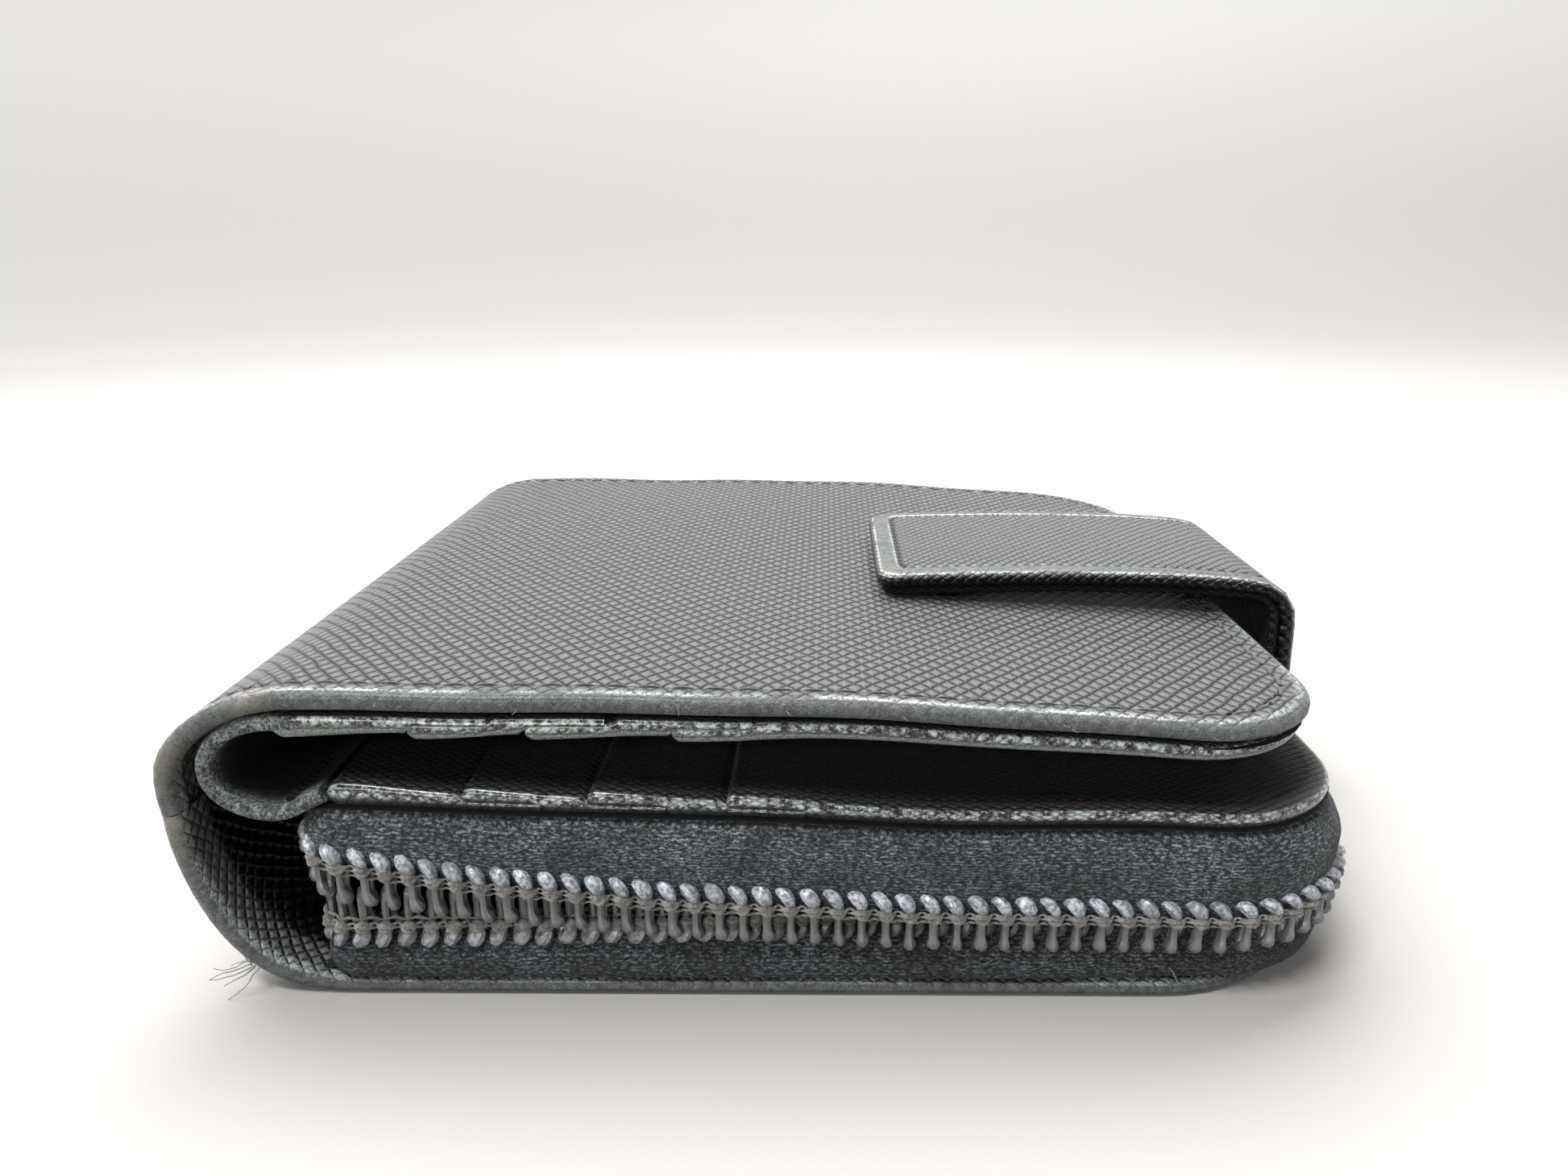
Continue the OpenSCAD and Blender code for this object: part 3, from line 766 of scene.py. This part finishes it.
def pocket_stack(prefix, body, mouths, end, base_z, tip_z, rim):
    """Four card pockets. base_z is the face that they lie on and tip_z the height of a mouth, so
    they build upwards on the middle leaf and downwards under the front leaf."""
    sign = 1 if tip_z > base_z else -1
    full = abs(tip_z - base_z)
    route = level_route(base_z, end, sign)
    for k, mouth in enumerate(mouths):
        start = route.where(mouth)
        last = k == len(mouths) - 1
        step_end = route.length if last else route.where(mouths[k + 1])
        stop = route.length if last else step_end + LAP

        def top(u, start=start, step_end=step_end, last=last):
            run = min(step_end, start + 14) - start
            slope = full - 0.55 * smooth((u - start) / run)
            slope = full / 2 + (slope - full / 2) * nose_share(u, start)
            return slope if last else np.where(u > step_end - 0.1, TAIL_T, slope)

        def under(u, start=start, k=k):
            foot = 0.0 if k == 0 else TAIL_T + 0.06
            base = np.where(u < start + LAP + 0.3, foot, 0.0)
            return full / 2 + (base - full / 2) * nose_share(u, start)

        def worn(points, wear_and_shade, mouth=mouth):
            return np.maximum(wear_and_shade, 0.17 * np.exp(-((points[:, 0] - mouth) / 0.6) ** 2))

        sheet(f"{prefix}_{k + 1}_leather", route, start, stop, HALF - 0.3, rim, top, under, worn=worn,
              corner=CORNER if last else 0.0, step=1.0 if not last else 1.6, rows=20, nose=NOSE,
              material=POCKET, slot="pocket_leather", nodes=(f"{prefix}_{k + 1}",), body=body)


def inner_fold():
    """The C-shaped band between the front pockets and the middle pockets, scuffed on its edges."""
    path = spline([(-42.3, 27.3), (-45.8, 27.3), (-48.8, 26.3), (-50.7, 24.2), (-50.9, 21.8),
                   (-49.6, 19.9), (-47.0, 18.7), (-44.4, 18.6), (-42.3, 19.5), (-40.4, 20.4)])
    route = Route(path, side=-1)
    sheet("inner_fold_leather", route, 0, route.length, HALF - 0.2, EDGE_BAND, FOLD_T / 2, -FOLD_T / 2,
          step=0.8, rows=24, material=FOLD, slot="spine_leather", nodes=("inner_fold",), turn=INNER_TURN)


def leaves():
    layers = (("back_board_sheet", "back_board", BOARD, "board", "back_leaf", 0.0),
              ("coin_floor_lining", "coin_lining", LINING, "lining_fabric", "back_leaf", 0.0),
              ("coin_roof_lining", "middle_lining", LINING, "lining_fabric", "middle_leaf", 1.2),
              ("middle_board_sheet", "middle_board", BOARD, "board", "middle_leaf", 0.0),
              ("middle_panel_leather", "middle_panel", POCKET, "cover_leather", "middle_leaf", 0.8),
              ("front_board_sheet", "front_board", BOARD, "board", "front_leaf", 0.0),
              ("note_slot_lining", "note_lining", LINING, "lining_fabric", "front_leaf", 0.0),
              ("front_panel_leather", "front_panel", POCKET, "cover_leather", "front_leaf", 0.5))
    for layer in layers:
        flat_layer(*layer)
    middle_high = corners_mm("middle_pocket_4")[1]
    front_low, front_high = corners_mm("front_pocket_4")
    pocket_stack("middle_pocket", "middle_leaf", (-39.8, -27.7, -16.5, -4.1), middle_high[0],
                 corners_mm("middle_pocket_1")[0][2], middle_high[2], LIP)
    pocket_stack("front_pocket", "front_leaf", (-43.8, -31.9, -21.5, -8.6), front_high[0],
                 corners_mm("front_pocket_1")[1][2], front_low[2], LIP_BELOW)
    low, high = corners_mm("coin_gusset")
    mid_x = (low[0] + high[0]) / 2
    route = Route(line_to((mid_x, low[2] + 0.1), (mid_x, high[2] - 0.1)))
    sheet("coin_gusset_lining", route, 0, route.length, high[1], THIN, 0.25, -0.25, rows=12,
          material=LINING, slot="lining_fabric", nodes=("coin_gusset",),
          turn=("back_leaf", "middle_leaf", (mid_x, 0, 4), (mid_x, 0, 17)))


# -------- strap and snap
def strap():
    """Three layers that follow one line: over the cover, round the opening edge, and down."""
    low, high = STRAP_LOW, STRAP_HIGH
    bend = 5.0
    full = 2.9
    mid = full / 2
    top_z = high[2] - mid
    out_x = high[0] - mid
    root_z = low[2] + 0.2
    tip_x = low[0] + 1.6
    route = Route(line((out_x, root_z), (out_x, top_z - bend + mid))
                  + arc((out_x - bend + mid, top_z - bend + mid), bend - mid, 0, 90, 18)
                  + line_to((out_x - bend + mid - 0.5, top_z), (tip_x, top_z)), side=-1)
    skin = 1.2
    turn = ("middle_leaf", "strap", (out_x, 0, root_z + 0.2), (out_x, 0, root_z + 4.5))
    common = {"corner": 6.2, "square": 0.36, "rows": 20, "turn": turn, "shape": settle_strap}
    sheet("strap_face_leather", route, 0, route.length, STRAP_HALF, STRAP_EDGE, mid, mid - skin,
          material=STRAP, slot="cover_leather", nodes=("strap_face",),
          spots=(((11, -STRAP_HALF, 31.2), 4.2), ((57, -STRAP_HALF, 29), 2.2)), **common)
    sheet("strap_core_board", route, 0.5, route.length - 2.2, STRAP_HALF - 2.2, THIN, 0.24, -0.24,
          material=BOARD, slot="board", nodes=("strap_core",), **common)
    sheet("strap_lining_leather", route, 0, route.length - 0.5, STRAP_HALF - 0.5, THIN,
          -mid + skin - 0.05, -mid, material=POCKET, slot="pocket_leather", nodes=("strap_lining",), **common)
    low, high = corners_mm("strap_anchor")
    mid_z, half_t = (low[2] + high[2]) / 2, (high[2] - low[2]) / 2
    route = Route(line_to((low[0], mid_z), (high[0], mid_z)))
    sheet("strap_anchor_leather", route, 0, route.length, high[1], THIN, half_t, -half_t, rows=12,
          material=POCKET, slot="cover_leather", nodes=("strap_anchor",), body="middle_leaf")


def turned_metal(name, node, body, profile, lift=0.0, **settings):
    """A turned form. profile takes the lowest and highest level of its CAD node."""
    low, high = (corner[2] for corner in corners_mm(node))
    heap = Heap()
    heap.add(lathe(profile(low + lift, high), (SNAP_X, 0)))
    heap.make(name, SNAP, "snap_metal", (node,), body, **settings)


def snap():
    """Stud on the cover, and the socket and cap in the strap."""
    turned_metal("snap_stud_metal", "snap_stud", "front_leaf", lambda low, high: [
        (1.1, low), (4.0, low), (4.0, low + 0.3), (3.7, low + 0.42), (1.75, low + 0.42),
        (1.55, low + 0.7), (1.8, low + 1.1), (1.7, low + 1.4), (1.3, high), (1.1, high)], 0.02)
    turned_metal("stud_rivet_metal", "stud_rivet", "front_leaf", lambda low, high: [
        (0.3, low), (3.9, low), (4.0, low + 0.15), (3.9, low + 0.35), (1.0, low + 0.5),
        (1.0, high - 0.2), (0.8, high)])
    turned_metal("snap_socket_metal", "snap_socket", "strap", lambda low, high: [
        (2.1, low), (4.7, low), (5.0, low + 0.15), (5.0, low + 0.32), (4.6, low + 0.45),
        (2.75, low + 0.45), (2.75, high), (2.1, high)], shape=settle_strap)
    turned_metal("snap_cap_metal", "snap_cap", "strap", lambda low, high: [
        (0.5, low), (4.8, low), (5.0, low + 0.1), (5.0, high - 0.1), (4.8, high), (0.5, high)],
        shape=settle_strap)


# -------- stitches and loose fibres
STITCH = 2.9
SEAM_INSET = 2.57


def cover_stitches():
    """The cover's seam, round three sides: stitches laid end to end, with a gap at each hole."""
    r = CORNER - SEAM_INSET
    side, end = HALF - SEAM_INSET, FRONT_X - SEAM_INSET
    plan = line((FOLD_X, -side), (end - r, -side)) + arc((end - r, r - side), r, 270, 360)
    plan += line((end, r - side), (end, side - r)) + arc((end - r, side - r), r, 0, 90)
    plan = np.array(plan + [(FOLD_X, side)])
    along = distances(plan)
    arch = TOP - 0.12 + np.array([-0.16, 0, 0.04, 0, -0.16])
    heap = Heap()
    for k in range(int(along[-1] / STITCH)):
        s = (k + np.linspace(0.12, 0.88, 5)) * STITCH
        x, y = (np.interp(s, along, column) for column in plan.T)
        heap.add(tube(np.stack([x, y, arch], axis=1), 0.2 * np.array([0.7, 1, 1, 1, 0.7]), 6))
    heap.make("cover_stitches", SEAM_THREAD, "cover_leather", (), "front_leaf")


def fibres(name, body, roots, reach, thick, spread):
    """Loose fibres that start inside a piece and bend at random. A root is a point, a direction
    and a number of fibres."""
    heap = Heap()
    for root, way, count in roots:
        for _ in range(count):
            point = np.array(root, float) + [rng.uniform(-1, 1) * w for w in spread]
            heading = np.array(way, float) + [rng.uniform(-0.5, 0.5) for _ in range(3)]
            points = [point]
            for _ in range(6):
                heading = heading / np.linalg.norm(heading) + [rng.uniform(-0.35, 0.35) for _ in range(3)]
                step = heading / np.linalg.norm(heading) * reach / 6
                points.append(points[-1] + step * rng.uniform(0.7, 1.3))
            heap.add(tube(points, np.linspace(thick, thick * 0.5, 7), 5))
    heap.make(name, STRAY, "cover_leather", (), body)


def loose_fibres():
    fibres("spine_foot_frays", "back_leaf", [((-49.0, -HALF + 0.3, 3.2), (-1.0, -0.1, -0.15), 7),
                                             ((-49.6, HALF - 0.3, 3.4), (-1.0, 0.1, 0.1), 3)],
           4.2, 0.07, (0.5, 0.2, 0.4))
    fibres("cover_edge_frays", "front_leaf", [((x, -HALF + 0.1, TOP - 0.9), (0.2, -1.0, 0.3), 2)
                                              for x in (-40, -33, -21, -8, 4, 13, 26, 37)],
           0.9, 0.035, (2.5, 0.05, 0.5))
    upper = [(placed(s, 0.9, 15.5), (0.3, -1.0, 0.2), 1) for s in (22.0, 36.0, 47.0, 59.0, 71.0, 84.0)]
    fibres("upper_tape_fuzz", "middle_leaf", upper, 1.5, 0.035, (2.0, 0.0, 1.5))
    lower = [(placed(s, 0.2, 3.4), (0.2, -1.0, 0.5), 1) for s in (40.0, 66.0, 82.0)]
    fibres("lower_tape_fuzz", "back_leaf", lower, 1.9, 0.045, (1.5, 0.0, 0.8))


# -------- zip
ZIP_INSET = 0.5
CURL = 4.0
PITCH = 2.15
COIL_SIDES = 8
THREAD_SIDES = 6


def zip_line():
    """Plan of the zip, from its curled start at the spine, round the opening edge, and back."""
    edge = HALF - ZIP_INSET
    out_x = LEAF_X - ZIP_INSET
    r = CORNER - ZIP_INSET
    start_x = FOLD_X + 1.2
    half_run = [(start_x, y) for y in np.linspace(-edge + CURL + 2.0, -edge + CURL, 6)[:-1]]
    half_run += arc((start_x + CURL, CURL - edge), CURL, 180, 270, 12)
    half_run += line((start_x + CURL + 0.5, -edge), (out_x - r, -edge), 0.5)
    half_run += arc((out_x - r, r - edge), r, 270, 360, 40)
    half_run += line((out_x, r - edge + 0.5), (out_x, 0), 0.5)
    near = np.array(half_run)
    far = near[::-1] * (1, -1)
    return np.vstack([near, [(out_x, 0)], far])


class ZipLine:
    def __init__(self):
        self.plan = zip_line()
        self.s = distances(self.plan)
        self.tangent = directions(self.plan, self.s)
        self.length = self.s[-1]

    def at(self, s):
        x, y, tx, ty = (np.interp(s, self.s, c) for c in (*self.plan.T, *self.tangent.T))
        return x, y, tx, ty

    def upper_edge(self, s):
        """Height of the upper row's outer side. The row starts high at the spine on the near side."""
        share = s / self.length
        return np.interp(share, (0, 0.012, 0.03, 0.07, 0.13, 0.21, 0.30, 0.36, 0.5, 0.9, 1),
                         (16.8, 16.4, 15.7, 14.2, 12.6, 11.5, 11.6, 12.4, 13.2, 12.6, 12.6))

    def lower_edge(self, s):
        share = s / self.length
        return np.interp(share, (0, 0.03, 0.07, 0.13, 0.17, 0.21, 0.30, 0.36, 0.55, 1),
                         (4.2, 4.9, 5.1, 5.4, 5.8, 6.1, 6.3, 5.9, 3.6, 3.4))

    def lower_back(self, s):
        """How far the lower row lies behind the upper row. On the near side it is pushed inwards."""
        return np.interp(s / self.length, (0, 0.05, 0.3, 0.42, 0.6, 1), (0.9, 1.2, 2.2, 1.4, 0.2, 0.2))


ZIP = ZipLine()


def placed(s, out, z):
    """Points at a distance along the zip, a distance outwards from it, and a height."""
    x, y, tx, ty = ZIP.at(s)
    return np.stack([x + ty * out, y - tx * out, np.broadcast_to(z, np.shape(x))], axis=-1)


# One turn of the coil: (along, outwards, distance from the row's outer side, radius)
TURN = [(-1.0, -0.35, 1.5, 0.34), (-1.0, 0.0, 0.75, 0.42), (-0.8, 0.45, 0.45, 0.58),
        (-0.4, 0.75, 0.62, 0.74), (0.0, 0.8, 1.2, 0.68), (0.1, 0.55, 1.8, 0.45), (0.0, 0.42, 2.5, 0.4),
        (0.0, 0.42, 3.4, 0.41), (0.0, 0.42, 4.5, 0.42), (0.0, 0.45, 5.1, 0.62), (0.0, 0.15, 5.5, 0.66),
        (0.0, -0.3, 5.1, 0.46), (0.1, -0.42, 4.0, 0.34), (0.5, -0.42, 2.5, 0.32)]


def coil_row(name, node, body, edge, up, phase, back):
    turns = int((ZIP.length - 2.0) / PITCH)
    keys = [(1.2 + (k + phase) * PITCH + along, out, away, radius * (1 + 0.05 * math.sin(k * 2.399 + away)))
            for k in range(turns) for along, out, away, radius in TURN]
    fine = np.array(spline(keys, 2))
    s = np.clip(fine[:, 0], 0, ZIP.length)
    row = edge(s)
    hook = 0.3 * np.cos(math.pi * np.clip(s / 130, 0, 1)) * smooth((fine[:, 2] - 4.4) / 1.0)
    points = placed(s + hook, fine[:, 1] + 0.45 - back(s), row - up * fine[:, 2])
    solid = tube(points, fine[:, 3], COIL_SIDES, squash=0.85)
    heel = smooth(1 - (fine[:, 2] - 1.0) / 0.9)
    # The lower row's heels are half as silvery, and the row is painted darker behind the upper row: painted
    # shade.
    if up < 0:
        heel = 0.5 * heel - grime_and_shade(s)
    heap = Heap()
    heap.add(solid, np.repeat(heel, COIL_SIDES))
    heap.make(name, NYLON, "zip_coil", (node,), body)


def grime_and_shade(s):
    """Painted shade on the lower row, where it is pushed in behind the upper row on the near side; there the
    row is also a little duller.
    """
    share = s / ZIP.length
    return 0.9 * smooth((share - 0.13) / 0.06) * smooth((0.46 - share) / 0.08)


def chain_threads(prefix, body, edge, up, phase, back):
    """The sewing that holds the coil: two strands crossing over the legs, and a thin line below."""
    heap = Heap()
    s = np.arange(1.5, ZIP.length - 1.5, PITCH / 10)
    beat = 2 * math.pi * (s - 1.2 - phase * PITCH) / PITCH
    # The lower row's threads take the same painted shade.
    dirt_and_shade = np.repeat(grime_and_shade(s), THREAD_SIDES) if up < 0 else 0.0
    for turn in (0, math.pi):
        z = edge(s) - up * (2.1 + 0.24 * np.cos(beat + turn))
        out = 1.2 + 0.26 * np.cos(beat) + 0.08 * np.sin(beat + turn) - back(s)
        radius = 0.27 + 0.19 * np.cos(beat)
        heap.add(tube(placed(s, out, z), radius, THREAD_SIDES), dirt_and_shade)
    z = edge(s) - up * (2.85 + 0.07 * np.sin(beat))
    out = 1.0 + 0.14 * np.cos(beat) - back(s)
    heap.add(tube(placed(s, out, z), 0.13 + 0.04 * np.cos(3 * beat), THREAD_SIDES), dirt_and_shade)
    heap.make(f"{prefix}_chain_thread", CHAIN_THREAD, "zip_tape", (), body)


def tape(name, node, body, keys, cloth):
    """A tape whose section is a list of (outwards, height) functions of the place along the zip."""
    s = np.linspace(0, ZIP.length, 340)
    thick = 0.35
    rows = [keys(share, s) for share in np.linspace(0, 1, 15)]
    outs, zs = (np.array(values) for values in zip(*rows))
    layers = [[placed(s, out + side * thick, z) for out, z in zip(outs, zs)] for side in (1, -1)]
    count, n = len(rows), len(s)
    points = np.vstack(layers[0] + layers[1][::-1])
    faces = []
    total = 2 * count
    for a in range(total):
        b = (a + 1) % total
        for i in range(n - 1):
            faces.append((a * n + i, a * n + i + 1, b * n + i + 1, b * n + i))
    for i in (0, n - 1):
        for a in range(count - 1):
            b = total - 1 - a
            faces.append((a * n + i, (a + 1) * n + i, (b - 1) * n + i, b * n + i))
    across = np.concatenate([zs.ravel(), zs[::-1].ravel()])
    flat = np.stack([np.tile(s, total), across], axis=1)
    make(name, points, faces, cloth, "zip_tape", (node,), body, flat=flat)


def tapes():
    """The two cloth tapes. share runs from a tape's sewn edge to its coil."""
    def upper(share, s):
        bottom = ZIP.upper_edge(s) - 2.5
        z = 18.9 + (bottom - 18.9) * share
        bulge = np.interp(share, (0, 0.06, 0.18, 0.4, 0.7, 1), (-2.4, -0.7, 0.15, 0.85, 0.7, -0.05))
        return bulge + 0 * s, z

    def lower(share, s):
        edge = ZIP.lower_edge(s) + 2.5
        z = 0.95 + (edge - 0.95) * share
        bulge = np.interp(share, (0, 0.04, 0.15, 0.4, 0.7, 1), (-2.6, -0.9, 0.1, 0.55, -0.1, -0.7))
        opening = smooth((s / ZIP.length - 0.24) / 0.08) * smooth((0.76 - s / ZIP.length) / 0.08)
        return bulge - 1.0 * opening * (1 - share) ** 2 - 0.95 * ZIP.lower_back(s) * share**1.4, z

    tape("upper_zip_tape_cloth", "upper_zip_tape", "middle_leaf", upper, TAPE)
    tape("lower_zip_tape_cloth", "lower_zip_tape", "back_leaf", lower, SHADED_LOWER_TAPE)


def zip_chain():
    rows = (("upper", "middle_leaf", ZIP.upper_edge, 1, 0.0, lambda s: 0 * s),
            ("lower", "back_leaf", ZIP.lower_edge, -1, 0.5, ZIP.lower_back))
    for side, body, edge, up, phase, back in rows:
        coil_row(f"{side}_zip_coil_nylon", f"{side}_zip_coil", body, edge, up, phase, back)
        chain_threads(side, body, edge, up, phase, back)
        stops = Heap()
        for s in (0.7, ZIP.length - 0.7):
            middle = edge(np.array([s])) - up * 2.0
            place = placed(np.full(7, s), 0.45 - back(np.full(7, s)), middle + np.linspace(-1.6, 1.6, 7))
            stops.add(tube(place, [0.3, 0.75, 0.85, 0.85, 0.85, 0.75, 0.3], 10, squash=0.8))
        stops.make(f"{side}_zip_stops_metal", METAL, "zip_metal", (f"{side}_zip_stops",), body)


def rounded_metal(name, node, body, bevel):
    """The form of a CAD node with its edges rounded over."""
    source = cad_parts[node]
    work = bmesh.new()
    work.from_mesh(source.data)
    work.transform(Matrix.Scale(1 / MM, 4) @ source.matrix_world)
    bmesh.ops.remove_doubles(work, verts=work.verts, dist=0.001)
    bmesh.ops.dissolve_limit(work, angle_limit=math.radians(1), verts=work.verts, edges=work.edges)
    edges = [e for e in work.edges if len(e.link_faces) == 2 and e.calc_face_angle() > math.radians(40)]
    bmesh.ops.bevel(work, geom=edges, offset=bevel, segments=3, profile=0.5, affect="EDGES",
                    clamp_overlap=True)
    bmesh.ops.triangulate(work, faces=work.faces)
    points = [tuple(v.co) for v in work.verts]
    faces = [[v.index for v in f.verts] for f in work.faces]
    work.free()
    make(name, points, faces, METAL, "zip_metal", (node,), body, shape=lambda p: np.array(p, float))


def metal_parts():
    rounded_metal("zip_slider_body", "zip_slider", "zip_slider", 0.45)
    rounded_metal("zip_pull_tab", "zip_pull", "zip_pull", 0.4)


# -------- stage, light and camera
FLOOR_SIDES = 96


def stage():
    """A round sweep of pale cloth: flat under the wallet, and raised on all sides behind it."""
    floor = Shader("pale_cloth", Roughness=0.95)
    weave = floor.noise(0.9, 4.0, 0.7)
    split = floor.node("ShaderNodeSeparateXYZ", floor.place)
    away = floor.node("ShaderNodeVectorMath", floor.place, operation="LENGTH")
    colour = floor.mix(floor.noise(0.01, 2.0), (0.335, 0.326, 0.317, 1), (0.36, 0.351, 0.342, 1))
    # Painted shade and light: the cloth is darker away from the wallet and lighter again up the sweep,
    # evening out how brightly the lamps light it.
    colour = floor.mix(floor.band(away.outputs["Value"], 250.0, 800.0), colour, (0.238, 0.233, 0.228, 1))
    colour = floor.mix(floor.band(split.outputs[2], 50.0, 400.0), colour, (0.32, 0.314, 0.308, 1))
    floor.finish(colour, None, floor.bump(weave, 0.05, 0.5))
    profile = [(0.5, 0), (300, 0), (700, 0), (1000, 0)]
    profile += [(1000 + 700 * math.sin(a), 700 - 700 * math.cos(a)) for a in np.linspace(0.1, 1.5, 14)]
    profile += [(1760, 2300)]
    *quads, middle, _ = ring_faces(len(profile), FLOOR_SIDES)
    faces = [(a, d, c, b) for a, b, c, d in quads] + [middle]
    points = turned_points(profile, (0, 0), FLOOR_SIDES)
    obj = new_object("floor", points, faces, floor.material)


def lamp(name, place, aim, size, power):
    data = bpy.data.lights.new(name, "AREA")
    data.shape = "RECTANGLE"
    data.size, data.size_y = size
    data.energy = power
    obj = bpy.data.objects.new(name, data)
    obj.location = Vector(place)
    obj.rotation_euler = (Vector(aim) - Vector(place)).to_track_quat("-Z", "Y").to_euler()
    bpy.context.scene.collection.objects.link(obj)


def light():
    world = bpy.data.worlds.new("studio")
    world.use_nodes = True
    background = world.node_tree.nodes["Background"].inputs
    background["Color"].default_value = (1.0, 0.99, 0.98, 1)
    background["Strength"].default_value = 0.1
    bpy.context.scene.world = world
    lamp("overhead", (-0.25, 0.75, 1.4), (0, 0.3, 0.0), (2.2, 1.2), 88.0)
    lamp("front_light", (-0.25, -0.35, 0.9), (0, 0, 0.02), (0.4, 0.15), 9.0)
    lamp("low_fill", (-0.3, -0.85, 0.42), (0, 0, 0.02), (0.35, 0.12), 3.0)
    bpy.context.scene.view_settings.view_transform = "Standard"


FOCAL_SHARE = 1425 / 1946  # focal length as a share of the picture's width


def camera():
    """The camera stands close in front of the near side, a little above the top."""
    yaw, pitch, roll = (math.radians(a) for a in (-2.4, 16.65, 1.24))
    ahead = Vector((math.sin(yaw) * math.cos(pitch), math.cos(yaw) * math.cos(pitch), -math.sin(pitch)))
    right = Vector((math.cos(yaw), -math.sin(yaw), 0))
    down = ahead.cross(right)
    tilted = math.cos(roll) * right + math.sin(roll) * down
    up = -(math.cos(roll) * down - math.sin(roll) * right)
    data = bpy.data.cameras.new("camera")
    data.sensor_width = 36
    data.lens = data.sensor_width * FOCAL_SHARE
    data.clip_start = 0.005
    obj = bpy.data.objects.new("camera", data)
    matrix = Matrix((tilted, up, -ahead)).transposed().to_4x4()
    matrix.translation = Vector((5.3, -HALF - 91.3, 67.0)) * MM
    obj.matrix_world = matrix
    bpy.context.scene.collection.objects.link(obj)
    bpy.context.scene.camera = obj


camera()
stage()
light()
outer_leather()
leaves()
inner_fold()
strap()
snap()
tapes()
zip_chain()
cover_stitches()
loose_fibres()
metal_parts()
